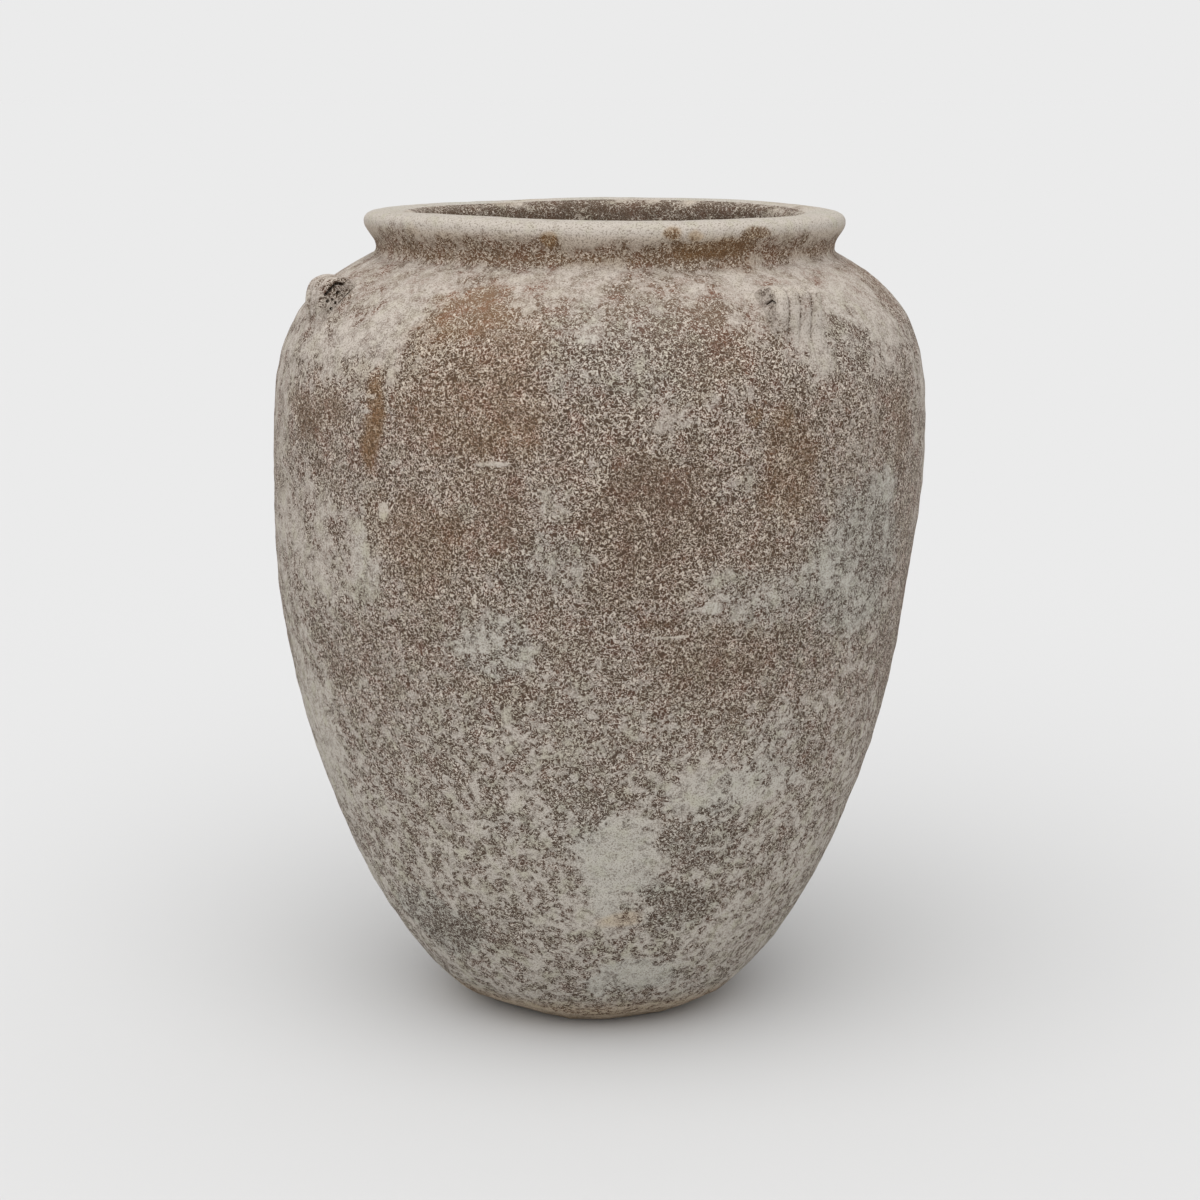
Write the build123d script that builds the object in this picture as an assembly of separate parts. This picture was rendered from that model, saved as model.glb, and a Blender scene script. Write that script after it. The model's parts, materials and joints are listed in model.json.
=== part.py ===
from build123d import *
from math import cos, radians, sin
import os

# A large storage jar of coarse fired clay, raised in courses on a floor slab, with a thick neck
# and lip and strap lugs on the shoulder. Lengths are millimetres and angles are degrees.
# The jar stands on the plane z = 0, its axis is +Z, and its front faces -Y.

# Outer form from the ground up: radii from the axis, the rise from each level to the next, and how
# far the waist and the shoulder lie inside the belly
FOOT_RADIUS = 112.0
BEVEL_WIDTH = 37.0
BEVEL_RISE = 20.0
FOOT_FLARE = 46.0
LOWER_RADIUS = 241.5
LOWER_RISE = 140.0
WAIST_INSET = 18.5
WAIST_RISE = 200.0
BELLY_RADIUS = 322.5
BELLY_RISE = 225.0
SHOULDER_INSET = 22.5
SHOULDER_RISE = 112.0
SHOULDER_PITCH = 24.0
NECK_RISE = 61.0
NECK_HEIGHT = 11.0

# Mouth and lip
MOUTH_RADIUS = 183.5
NECK_WALL = 41.0
LIP_OVERHANG = 11.5
LIP_HEIGHT = 31.0
LIP_FOLD = 15.0
LIP_UNDERSIDE = 13.0
LIP_ROUNDING = 12.0
LIP_CORNER_ROUNDING = 5.0

# Clay thickness of the floor and the wall
FLOOR_THICKNESS = 32.0
WALL_THICKNESS = 27.0
WALL_STATIONS = 9

# Seams: each course has a tongue below, set with slip in a groove of the course that it stands on
MIDDLE_SEAM_HEIGHT = 435.0
TONGUE_WIDTH = 12.0
TONGUE_HEIGHT = 7.0
SLIP_GAP = 0.4
LOWER_COURSES = ("foot_course", "lower_course", "waist_course")
UPPER_COURSES = ("belly_course", "shoulder_course", "crown_course")

# Lugs: ribbed straps bent into a loop, luted to the shoulder, with a hole for a cord across them.
# Narrow and broad ones take turns. Their angles are counted from the front, positive towards +X.
LUG_FRONT_LEFT_ANGLE = -64.0
LUG_FRONT_RIGHT_ANGLE = 36.0
LUG_REAR_RIGHT_ANGLE = 136.0
LUG_REAR_LEFT_ANGLE = 216.0
LUG_DROP = 36.0
NARROW_LUG_RIBS = 3
BROAD_LUG_RIBS = 4
LUG_RIB_WIDTH = 13.0
LUG_RIB_ROUNDING = 4.5
LUG_LOOP_LENGTH = 46.0
LUG_PROUD = 24.0
LUG_HEEL_PROUD = 9.0
LUG_HEEL_PITCH = 40.0
LUG_TAIL_LENGTH = 36.0
LUG_TAIL_PROUD = 2.0
LUG_ROOT_DEPTH = 6.0
CORD_HOLE_RADIUS = 6.0
CORD_HOLE_PAD = 4.5
LUG_SEAT_ARC = 60.0

# Levels and radii that follow from the sizes above
bevel_radius = FOOT_RADIUS + BEVEL_WIDTH
waist_radius = BELLY_RADIUS - WAIST_INSET
shoulder_radius = BELLY_RADIUS - SHOULDER_INSET
neck_radius = MOUTH_RADIUS + NECK_WALL
lip_radius = neck_radius + LIP_OVERHANG
lower_level = BEVEL_RISE + LOWER_RISE
waist_level = lower_level + WAIST_RISE
belly_level = waist_level + BELLY_RISE
shoulder_level = belly_level + SHOULDER_RISE
neck_level = shoulder_level + NECK_RISE
lip_level = neck_level + NECK_HEIGHT
collar_top = lip_level + LIP_FOLD
rim_level = lip_level + LIP_HEIGHT

# Outer wall line, from the bevelled lower edge to the corner under the neck
outer_wall = Spline(
    (bevel_radius, BEVEL_RISE),
    (LOWER_RADIUS, lower_level),
    (waist_radius, waist_level),
    (BELLY_RADIUS, belly_level),
    (shoulder_radius, shoulder_level),
    (neck_radius, neck_level),
    tangents=[
        (sin(radians(FOOT_FLARE)), cos(radians(FOOT_FLARE))),
        (-cos(radians(SHOULDER_PITCH)), sin(radians(SHOULDER_PITCH))),
    ],
)


def outward(station):
    """Direction square to the outer wall, away from the clay, at a station from 0 to 1 along it."""
    along = outer_wall % station
    return Vector(along.Y, -along.X)


def off_wall(station, proud):
    """Point that stands a distance proud of the outer wall."""
    return outer_wall @ station + outward(station) * proud


def station_at(level):
    """Station of the outer wall at a level."""
    crossing = outer_wall.find_intersection_points(Axis((0, level), (1, 0)))[0]
    return outer_wall.param_at_point(crossing)


# Inner wall line, one wall thickness inside the outer line, run straight down to the ground plane
# and straight on to the mouth
stations = [step / (WALL_STATIONS - 1) for step in range(WALL_STATIONS)]
foot_slope = outer_wall % 0
shoulder_slope = outer_wall % 1
inner_wall = Spline(
    *[off_wall(station, -WALL_THICKNESS) for station in stations],
    tangents=[foot_slope, shoulder_slope],
)
inner_start = inner_wall @ 0
inner_end = inner_wall @ 1
inner_foot = inner_start - foot_slope * (inner_start.Y / foot_slope.Y)
inner_mouth = inner_end + shoulder_slope * ((MOUTH_RADIUS - inner_end.X) / shoulder_slope.X)

# Flat sections through the axis: X is the radius and Y is the height
body_section = make_face(
    [
        Polyline((0, 0), (FOOT_RADIUS, 0), (bevel_radius, BEVEL_RISE)),
        outer_wall,
        Polyline((neck_radius, neck_level), (0, neck_level), (0, 0)),
    ]
)
hollow_section = make_face(
    [
        Polyline((0, 0), inner_foot, inner_start),
        inner_wall,
        Polyline(inner_end, inner_mouth, (MOUTH_RADIUS, rim_level), (0, rim_level), (0, 0)),
    ]
)


def band(low, high):
    """Strip of the section plane between two levels, as wide as the jar can be."""
    reach = 2 * (BELLY_RADIUS + LOWER_RADIUS + lip_radius)
    return Pos(0, (low + high) / 2) * Rectangle(reach, high - low)


hollow_section = hollow_section & band(FLOOR_THICKNESS, rim_level)
wall_section = body_section - hollow_section


def turned(section):
    """Turn a flat section into a solid about the jar's axis."""
    return revolve(Plane.XZ * section, Axis.Z)


def seam_radius(level):
    """Middle of the wall at a seam. The radii are read just above it, where the hollow is open."""
    span = (wall_section & band(level, level + SLIP_GAP)).bounding_box()
    return (span.min.X + span.max.X) / 2


def tongue(radius, level):
    """Tongue under a course, shorter and narrower than its groove by the slip."""
    depth = TONGUE_HEIGHT - SLIP_GAP
    return Pos(radius, level - depth / 2) * Rectangle(TONGUE_WIDTH - 2 * SLIP_GAP, depth)


def groove(radius, level):
    """Groove in the top of a course."""
    return Pos(radius, level - TONGUE_HEIGHT / 2) * Rectangle(TONGUE_WIDTH, TONGUE_HEIGHT)


def even_levels(low, high, count):
    """Levels that part a height into equal courses, both ends included."""
    return [low + (high - low) * step / count for step in range(count + 1)]


# Seam levels: equal courses below and above the middle seam, up to the neck
lower_levels = even_levels(FLOOR_THICKNESS, MIDDLE_SEAM_HEIGHT, len(LOWER_COURSES))
upper_levels = even_levels(MIDDLE_SEAM_HEIGHT, neck_level, len(UPPER_COURSES))
course_levels = lower_levels + upper_levels[1:]
neck_seam_radius = MOUTH_RADIUS + NECK_WALL / 2
seam_radii = [seam_radius(level) for level in course_levels[:-1]] + [neck_seam_radius]

parts = {}

# Floor slab, a disc with a bevelled edge
floor_section = wall_section & band(0, FLOOR_THICKNESS)
parts["floor_slab"] = turned(floor_section - groove(seam_radii[0], FLOOR_THICKNESS))

# Wall courses, from the foot to the crown of the shoulder
for index, name in enumerate(LOWER_COURSES + UPPER_COURSES):
    low = course_levels[index]
    high = course_levels[index + 1]
    section = wall_section & band(low, high)
    section = section + tongue(seam_radii[index], low) - groove(seam_radii[index + 1], high)
    parts[name] = turned(section)

# Neck collar, a short straight ring that stands up inside the lip
collar_height = collar_top - neck_level
neck_ring = Pos(neck_seam_radius, neck_level + collar_height / 2) * Rectangle(NECK_WALL, collar_height)
parts["neck_collar"] = turned(neck_ring + tongue(neck_seam_radius, neck_level))

# Lip, a thick roll laid on the collar and folded down over its outside, rounded into the mouth
fold_radius = neck_radius + SLIP_GAP
lip_ring = make_face(
    Polyline(
        (MOUTH_RADIUS, collar_top),
        (fold_radius, collar_top),
        (fold_radius, lip_level),
        (lip_radius, lip_level + LIP_UNDERSIDE),
        (lip_radius, rim_level),
        (MOUTH_RADIUS, rim_level),
        close=True,
    )
)
top_corners = lip_ring.vertices().group_by(Axis.Y)[-1]
lip_ring = fillet(top_corners, LIP_ROUNDING)
outer_corner = lip_ring.vertices().filter_by_position(
    Axis.Y, lip_level + LIP_UNDERSIDE, lip_level + LIP_UNDERSIDE
)
lip_ring = fillet(outer_corner, LIP_CORNER_ROUNDING)
parts["rim_lip"] = turned(lip_ring)

# Lug outline in the section plane: up from the top root, over the loop, back towards the wall at the
# heel and down into the tail
lug_station = station_at(neck_level - LUG_DROP)
top_root = lug_station + LUG_LOOP_LENGTH / 2 / outer_wall.length
heel = lug_station - LUG_LOOP_LENGTH / 2 / outer_wall.length
tail_end = heel - LUG_TAIL_LENGTH / outer_wall.length
heel_slope = outer_wall % heel * -cos(radians(LUG_HEEL_PITCH)) - outward(heel) * sin(radians(LUG_HEEL_PITCH))
strap_line = Spline(
    off_wall(top_root, -LUG_ROOT_DEPTH),
    off_wall(lug_station, LUG_PROUD),
    off_wall(heel, LUG_HEEL_PROUD),
    off_wall(tail_end, LUG_TAIL_PROUD),
    tangents=[
        outward(top_root),
        outer_wall % lug_station * -1,
        heel_slope,
        outer_wall % tail_end * -1,
    ],
)
strap_section = make_face(
    [
        strap_line,
        Polyline(strap_line @ 1, off_wall(tail_end, -LUG_ROOT_DEPTH), strap_line @ 0),
    ]
)

# Rounded rib that the lugs are made of, the cord's hole, and an arc of the shoulder that is wider
# than any lug
rib = extrude(Plane.XZ * strap_section, amount=LUG_RIB_WIDTH / 2, both=True)
rib_edges = rib.edges().filter_by(GeomType.BSPLINE)
rib = fillet(rib_edges, LUG_RIB_ROUNDING)
cord_hole_centre = off_wall(lug_station, CORD_HOLE_PAD + CORD_HOLE_RADIUS)
cord_hole_place = Pos(cord_hole_centre.X, 0, cord_hole_centre.Y) * Rot(90, 0, 0)
cord_hole = cord_hole_place * Cylinder(CORD_HOLE_RADIUS, 2 * BROAD_LUG_RIBS * LUG_RIB_WIDTH)
shoulder_seat = Rot(0, 0, -LUG_SEAT_ARC / 2) * revolve(Plane.XZ * body_section, Axis.Z, LUG_SEAT_ARC)


def lug(ribs):
    """Lug that faces +X: ribs side by side, seated on the shoulder and bored for the cord."""
    places = [Pos(0, (step - (ribs - 1) / 2) * LUG_RIB_WIDTH, 0) for step in range(ribs)]
    strap = Part() + [place * rib for place in places]
    return strap - shoulder_seat - cord_hole


# Lugs round the shoulder
lugs = {
    "lug_front_left": (LUG_FRONT_LEFT_ANGLE, NARROW_LUG_RIBS),
    "lug_front_right": (LUG_FRONT_RIGHT_ANGLE, BROAD_LUG_RIBS),
    "lug_rear_right": (LUG_REAR_RIGHT_ANGLE, NARROW_LUG_RIBS),
    "lug_rear_left": (LUG_REAR_LEFT_ANGLE, BROAD_LUG_RIBS),
}
for name, (angle, ribs) in lugs.items():
    parts[name] = Rot(0, 0, angle - 90) * lug(ribs)

os.makedirs("parts", exist_ok=True)
for name, solid in parts.items():
    solid.label = name
    export_step(solid, f"parts/{name}.step")

print(f"height {rim_level:.1f}, widest radius {turned(body_section).bounding_box().max.X:.1f}")
print(f"mouth wall from {inner_mouth.Y:.2f} to {rim_level - LIP_ROUNDING:.2f}")
print("seams at", [round(level, 1) for level in course_levels])
for name, (angle, ribs) in lugs.items():
    middle = (Rot(0, 0, angle - 90) * Pos(cord_hole_centre.X, 0, cord_hole_centre.Y)).position
    width = ribs * LUG_RIB_WIDTH
    print(f"{name} {width:.0f} wide, hole at {middle.X:.3f} {middle.Y:.3f} {middle.Z:.3f}")
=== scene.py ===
# %% [markdown]
# # A weathered clay storage jar
#
# The real object is a pithos, a large jar raised by hand in courses of coarse clay, fired, and then
# left to gather a crust of lime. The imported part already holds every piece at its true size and
# place. This lesson loads it and makes a finer skin for each piece, with the unevenness of hand work
# and the lime that the plain solids lack.

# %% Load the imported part
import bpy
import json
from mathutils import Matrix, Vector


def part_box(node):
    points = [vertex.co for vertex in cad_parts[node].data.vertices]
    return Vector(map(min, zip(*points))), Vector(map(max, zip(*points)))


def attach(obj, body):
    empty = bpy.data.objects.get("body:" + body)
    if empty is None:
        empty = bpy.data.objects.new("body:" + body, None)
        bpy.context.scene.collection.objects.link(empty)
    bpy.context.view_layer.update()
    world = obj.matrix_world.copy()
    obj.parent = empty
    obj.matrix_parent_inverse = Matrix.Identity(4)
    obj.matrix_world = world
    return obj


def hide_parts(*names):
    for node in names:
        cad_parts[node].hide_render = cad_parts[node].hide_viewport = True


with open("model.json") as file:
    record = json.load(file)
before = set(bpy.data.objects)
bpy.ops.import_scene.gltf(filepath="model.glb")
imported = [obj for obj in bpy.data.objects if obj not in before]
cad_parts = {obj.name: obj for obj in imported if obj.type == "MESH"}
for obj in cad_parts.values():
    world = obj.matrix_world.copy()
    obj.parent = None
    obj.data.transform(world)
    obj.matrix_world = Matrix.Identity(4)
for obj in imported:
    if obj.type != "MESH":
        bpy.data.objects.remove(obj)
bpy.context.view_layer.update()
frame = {"nodes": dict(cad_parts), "record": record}
print("pieces in the packed part:", ", ".join(sorted(frame["nodes"])))

# %% [markdown]
# ## Camera
#
# The view looks slightly down on the jar from its front. A camera could be guessed by eye, but the
# ovals of the mouth and the foot fix its height, tilt and lens, so those values are used here.

# %% Camera
import math

import bpy

# The lens in millimetres, the eye's place in metres and its tilt in degrees
SENSOR_WIDTH = 36.0
FOCAL_LENGTH = 77.475
EYE_PLACE = (0.007, -2.560, 0.9416)
DOWNWARD_TILT = 11.8

scene = bpy.context.scene
lens = bpy.data.cameras.new("viewer")
lens.sensor_width = SENSOR_WIDTH
lens.lens = FOCAL_LENGTH
viewer = bpy.data.objects.new("viewer", lens)
viewer.location = EYE_PLACE
viewer.rotation_euler = (math.radians(90.0 - DOWNWARD_TILT), 0, 0)
scene.collection.objects.link(viewer)
scene.camera = viewer
scene.view_settings.view_transform = "Standard"
print("camera at", tuple(round(place, 3) for place in viewer.location))

# %% [markdown]
# ## Floor and light
#
# The jar stands in a plain pale studio with very soft light, a little stronger from above and in
# front. A pale sky lights it from all round, and one wide sun adds the stronger side. The sun's
# strength is worked out so that the lit floor is just as bright as the sky, and no horizon shows.

# %% Helpers for colours and shader nodes
def to_linear(colour):
    """Turn an sRGB hex colour into the linear colour that Blender's sockets take."""
    channels = [int(colour[place:place + 2], 16) / 255 for place in (0, 2, 4)]
    return [c / 12.92 if c <= 0.04045 else ((c + 0.055) / 1.055) ** 2.4 for c in channels] + [1.0]


def add_node(tree, kind, inputs, **settings):
    """Add a shader node and return its outputs. An input takes a value or another node's output."""
    made = tree.nodes.new(kind)
    for name, value in settings.items():
        setattr(made, name, value)
    for socket, value in inputs.items():
        if isinstance(value, bpy.types.NodeSocket):
            tree.links.new(value, made.inputs[socket])
        else:
            made.inputs[socket].default_value = value
    return made.outputs


print(f"a middle grey on the screen is {to_linear('808080')[0]:.3f} in linear light")

# %% Sky, sun and floor
import bmesh

SKY_COLOUR = "EBEBEB"
FLOOR_COLOUR = "CDCDCD"

# The sun's height, turn and width in degrees, and the floor's radius in metres
SUN_HEIGHT = 58.0
SUN_ASIDE = -12.0
SUN_WIDTH = 75.0
FLOOR_RADIUS = 60.0
FLOOR_SIDES = 64

sky = bpy.data.worlds.new("studio_sky")
sky.use_nodes = True
sky.node_tree.nodes.clear()
glow = add_node(sky.node_tree, "ShaderNodeBackground", {"Color": to_linear(SKY_COLOUR)})
add_node(sky.node_tree, "ShaderNodeOutputWorld", {"Surface": glow["Background"]})
scene.world = sky

sky_level = to_linear(SKY_COLOUR)[0]
floor_level = to_linear(FLOOR_COLOUR)[0]
sun = bpy.data.lights.new("studio_sun", "SUN")
sun.angle = math.radians(SUN_WIDTH)
sun.energy = math.pi * sky_level * (1 / floor_level - 1) / math.sin(math.radians(SUN_HEIGHT))
sun_stand = bpy.data.objects.new("studio_sun", sun)
sun_stand.rotation_euler = (math.radians(90 - SUN_HEIGHT), 0, math.radians(SUN_ASIDE))
scene.collection.objects.link(sun_stand)

floor_paper = bpy.data.materials.new("pale_studio_paper")
floor_paper.use_nodes = True
floor_paper.node_tree.nodes.clear()
matte = add_node(floor_paper.node_tree, "ShaderNodeBsdfDiffuse", {"Color": to_linear(FLOOR_COLOUR)})
add_node(floor_paper.node_tree, "ShaderNodeOutputMaterial", {"Surface": matte["BSDF"]})

floor_mesh = bpy.data.meshes.new("studio_floor")
shaping = bmesh.new()
bmesh.ops.create_circle(shaping, cap_ends=True, radius=FLOOR_RADIUS, segments=FLOOR_SIDES)
shaping.to_mesh(floor_mesh)
shaping.free()
floor_mesh.materials.append(floor_paper)
studio_floor = bpy.data.objects.new("studio_floor", floor_mesh)
scene.collection.objects.link(studio_floor)
print(f"sun strength {sun.energy:.2f}")

# %% [markdown]
# ## The section of the jar
#
# A jar that is built up in rings is the same all round, so one line through its wall describes it.
# The outer wall is a smooth curve through six points, the same ones that the CAD model uses. The
# foot, neck and lip are straight stretches, softened afterwards as a wet hand softens clay, and the
# inner wall lies one clay thickness inside. The line is kept as one chain from the middle of the
# foot, up over the lip and down to the middle of the inner floor, so that each piece can take its
# own stretch of it and still meet its neighbours. A point of it is a radius and a level, both in
# millimetres.

# %% Smooth curve through the wall points
import numpy as np

MM = 0.001
COLLAR_RADIUS = 224.5
CROWN_TOP = 758.0
WALL_POINTS = (
    (149.0, 20.0),
    (241.5, 160.0),
    (304.0, 360.0),
    (322.5, 585.0),
    (300.0, 697.0),
    (COLLAR_RADIUS, CROWN_TOP),
)
FOOT_FLARE = math.radians(46.0)
SHOULDER_PITCH = math.radians(24.0)
CURVE_STEPS = 80


def smooth_curve(points, first_slope, last_slope):
    """Cubic curve through the points, one after the other, with the given slope at each end."""
    points = np.array(points)
    gaps = np.linalg.norm(np.diff(points, axis=0), axis=1)
    weights = np.eye(len(points))
    slopes = np.zeros_like(points)
    slopes[0] = first_slope
    slopes[-1] = last_slope
    for i in range(1, len(points) - 1):
        before, after = gaps[i - 1], gaps[i]
        weights[i, i - 1:i + 2] = 1 / before, 2 / before + 2 / after, 1 / after
        coming = 3 * (points[i] - points[i - 1]) / before**2
        going = 3 * (points[i + 1] - points[i]) / after**2
        slopes[i] = coming + going
    slopes = np.linalg.solve(weights, slopes)
    t = np.linspace(0, 1, CURVE_STEPS, endpoint=False)[:, None]
    rows = [
        (2 * t**3 - 3 * t**2 + 1) * points[i]
        + (t**3 - 2 * t**2 + t) * gaps[i] * slopes[i]
        + (3 * t**2 - 2 * t**3) * points[i + 1]
        + (t**3 - t**2) * gaps[i] * slopes[i + 1]
        for i in range(len(gaps))
    ]
    return np.vstack(rows + [points[-1:]])


outer_wall = smooth_curve(
    WALL_POINTS,
    (math.sin(FOOT_FLARE), math.cos(FOOT_FLARE)),
    (-math.cos(SHOULDER_PITCH), math.sin(SHOULDER_PITCH)),
)

# %% Chain of the whole section
FOOT_RADIUS = 112.0
FLOOR_LEVEL = 32.0
WALL_THICKNESS = 27.0
MOUTH_RADIUS = 183.5
COLLAR_TOP = 784.0
LIP_POINTS = (
    (COLLAR_RADIUS, 768.0),
    (229.0, 776.0),
    (234.5, 783.0),
    (236.2, 789.0),
    (235.0, 795.0),
    (229.0, 798.4),
    (212.0, 799.4),
    (196.0, 798.0),
    (186.5, 794.0),
    (MOUTH_RADIUS, COLLAR_TOP),
)
SOFTENING = 5


def square_to(line):
    """Unit direction that points to the right of each step along a line."""
    along = np.gradient(line, axis=0)
    along /= np.linalg.norm(along, axis=1)[:, None]
    return np.column_stack((along[:, 1], -along[:, 0]))


def even_steps(line):
    """The same line with a point every millimetre."""
    reach = np.concatenate(([0], np.cumsum(np.linalg.norm(np.diff(line, axis=0), axis=1))))
    places = np.linspace(0, reach[-1], int(round(reach[-1])) + 1)
    return np.column_stack([np.interp(places, reach, line[:, side]) for side in (0, 1)])


inner_wall = (outer_wall - square_to(outer_wall) * WALL_THICKNESS)[::-1]
inner_wall = inner_wall[inner_wall[:, 1] > FLOOR_LEVEL]
throat_drop = (inner_wall[0, 0] - MOUTH_RADIUS) * math.tan(SHOULDER_PITCH)
throat = (MOUTH_RADIUS, inner_wall[0, 1] + throat_drop)
foot_slope = inner_wall[-2] - inner_wall[-1]
inner_foot = inner_wall[-1] - foot_slope * (inner_wall[-1, 1] - FLOOR_LEVEL) / foot_slope[1]
outside_line = [(0, 0), (FOOT_RADIUS, 0), outer_wall, LIP_POINTS]
inside_line = [throat, inner_wall, inner_foot, (0, FLOOR_LEVEL)]
chain = even_steps(np.vstack(outside_line + inside_line))
rounding = np.ones(2 * SOFTENING + 1) / (2 * SOFTENING + 1)
for side in (0, 1):
    chain[SOFTENING:-SOFTENING, side] = np.convolve(chain[:, side], rounding, "valid")
chain_normal = square_to(chain)
rim = int(np.argmax(chain[:, 1]))
print(f"section of {len(chain)} points, rim at {chain[rim, 1]:.1f} mm")

# %% [markdown]
# ## Turning the pieces
#
# Each course is a ring with a tongue below and a groove above, set in slip. Its outline is a closed
# loop in the section plane, and spinning it round the axis makes the ring. A full turn in one go is
# slow on a fine mesh, so a narrow wedge is spun first, and then the wedge is copied round. Three
# values ride along on every point: the two sides of the direction square to the skin, and whether the
# point is on the skin or hidden in a seam. They are used later to roughen the skin alone.

# %% Outline of a stretch of the section
OUTER_STEP = 2
TONGUE_WIDTH = 12.0
TONGUE_HEIGHT = 7.0
SLIP_GAP = 0.4


def skin_rows(first_level, last_level, step, inside=False):
    """Rows of radius, level, outward direction and 1, along the skin between two levels."""
    half = slice(rim, None) if inside else slice(0, rim + 1)
    levels = chain[half, 1]
    order = np.argsort(levels, kind="stable")
    places = np.arange(len(chain))[half]
    start, end = np.interp((first_level, last_level), levels[order], places[order])
    count = max(2, int(round(abs(end - start) / step)) + 1)
    picks = np.linspace(start, end, count)
    columns = [np.interp(picks, places, side[half]) for side in (*chain.T, *chain_normal.T)]
    return np.column_stack(columns + [np.ones(count)])


def seam_rows(*points):
    """Rows for points that are hidden in a seam."""
    return np.array([(radius, level, 0, 0, 0) for radius, level in points])


def tongue_rows(radius, level):
    """Tongue under a ring, from its inner side to its outer side."""
    half = TONGUE_WIDTH / 2 - SLIP_GAP
    tip = level - TONGUE_HEIGHT + SLIP_GAP
    inner, outer = radius - half, radius + half
    return seam_rows((inner, level), (inner, tip), (outer, tip), (outer, level))


def groove_rows(radius, level):
    """Groove in the top of a ring, from its outer side to its inner side."""
    half = TONGUE_WIDTH / 2
    low = level - TONGUE_HEIGHT
    inner, outer = radius - half, radius + half
    return seam_rows((outer, level), (outer, low), (inner, low), (inner, level))


def seam_radius(level):
    """Middle of the wall at a level."""
    outer_radius = skin_rows(level, level, OUTER_STEP)[0, 0]
    inner_radius = skin_rows(level, level, OUTER_STEP, inside=True)[0, 0]
    return (outer_radius + inner_radius) / 2


belly_radius, belly_level = max(WALL_POINTS)
print(f"middle of the wall at {belly_level:.0f} mm: {seam_radius(belly_level):.1f} mm from the axis")

# %% Spin an outline into a piece
CARRIED = ("out_r", "out_z", "skin")
TURN_WEDGES = 30
WEDGE_STEPS = 30
MERGE = 1e-6


def turned_mesh(name, rows, closed=True):
    """Spin rows of an outline once round the axis."""
    shaping = bmesh.new()
    layers = [shaping.verts.layers.float.new(layer) for layer in CARRIED]
    verts = []
    for radius, level, *carried in rows:
        vert = shaping.verts.new((radius * MM, 0, level * MM))
        for layer, value in zip(layers, carried):
            vert[layer] = value
        verts.append(vert)
    pairs = list(zip(verts, verts[1:] + verts[:1]))
    edges = [shaping.edges.new(pair) for pair in (pairs if closed else pairs[:-1])]
    about = {"cent": (0, 0, 0), "axis": (0, 0, 1)}
    wedge = math.tau / TURN_WEDGES
    bmesh.ops.spin(shaping, geom=verts + edges, angle=wedge, steps=WEDGE_STEPS, **about)
    bmesh.ops.spin(
        shaping,
        geom=shaping.verts[:] + shaping.edges[:] + shaping.faces[:],
        angle=math.tau - wedge,
        steps=TURN_WEDGES - 1,
        use_duplicate=True,
        **about,
    )
    bmesh.ops.remove_doubles(shaping, verts=shaping.verts, dist=MERGE)
    bmesh.ops.recalc_face_normals(shaping, faces=shaping.faces)
    mesh = bpy.data.meshes.new(name)
    shaping.to_mesh(mesh)
    shaping.free()
    return mesh


print(f"a full turn has {TURN_WEDGES * WEDGE_STEPS} steps")

# %% Floor slab
SEAM_LEVELS = (FLOOR_LEVEL, 166.3, 300.7, 435.0, 542.7, 650.3, CROWN_TOP)
POLE_RADIUS = 8.0

# A level just above the flat inner floor still tells one place of the inner wall from the next
FLOOR_LIFT = 0.5
SEAM_LIFT = 1.0

# The floor's top runs in under the first course
FLOOR_TUCK = 4.0

collar_middle = (MOUTH_RADIUS + COLLAR_RADIUS) / 2
seam_radii = [seam_radius(level + SEAM_LIFT) for level in SEAM_LEVELS[:-1]] + [collar_middle]
foot_skin = skin_rows(0.0, FLOOR_LEVEL, OUTER_STEP)
foot_skin = np.vstack([(0, 0, 0, -1, 1), foot_skin[foot_skin[:, 0] > POLE_RADIUS]])
floor_top = seam_rows((inner_foot[0] + FLOOR_TUCK, FLOOR_LEVEL), (0, FLOOR_LEVEL))
slab = [foot_skin, groove_rows(seam_radii[0], FLOOR_LEVEL), floor_top]
meshes = {"floor_slab": turned_mesh("floor_slab", np.vstack(slab), closed=False)}
print("seams at radius", ", ".join(f"{radius:.0f}" for radius in seam_radii), "mm")

# %% Courses, collar and lip
COURSES = (
    "foot_course",
    "lower_course",
    "waist_course",
    "belly_course",
    "shoulder_course",
    "crown_course",
)
LIP_LEVEL = 769.0
INNER_STEP = 12
COLLAR_STEP = 1
COLLAR_INNER_STEP = 4
LIP_STEP = 1.6

for index, name in enumerate(COURSES):
    low, high = SEAM_LEVELS[index:index + 2]
    inner_low = low + FLOOR_LIFT if index == 0 else low
    outline = [
        skin_rows(low, high, OUTER_STEP),
        groove_rows(seam_radii[index + 1], high),
        skin_rows(high, inner_low, INNER_STEP, inside=True),
        tongue_rows(seam_radii[index], low),
    ]
    meshes[name] = turned_mesh(name, np.vstack(outline))

collar = [
    skin_rows(CROWN_TOP, LIP_LEVEL, COLLAR_STEP),
    seam_rows((COLLAR_RADIUS, LIP_LEVEL), (COLLAR_RADIUS, COLLAR_TOP)),
    skin_rows(COLLAR_TOP, CROWN_TOP, COLLAR_INNER_STEP, inside=True),
    tongue_rows(collar_middle, CROWN_TOP),
]
meshes["neck_collar"] = turned_mesh("neck_collar", np.vstack(collar))

lip_seat = COLLAR_RADIUS + SLIP_GAP
lip = [
    skin_rows(LIP_LEVEL, chain[rim, 1], LIP_STEP),
    skin_rows(chain[rim, 1], COLLAR_TOP, LIP_STEP, inside=True)[1:],
    seam_rows((lip_seat, COLLAR_TOP), (lip_seat, LIP_LEVEL)),
]
meshes["rim_lip"] = turned_mesh("rim_lip", np.vstack(lip))
for name, mesh in meshes.items():
    print(f"{name}: {len(mesh.vertices)} points")

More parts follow.
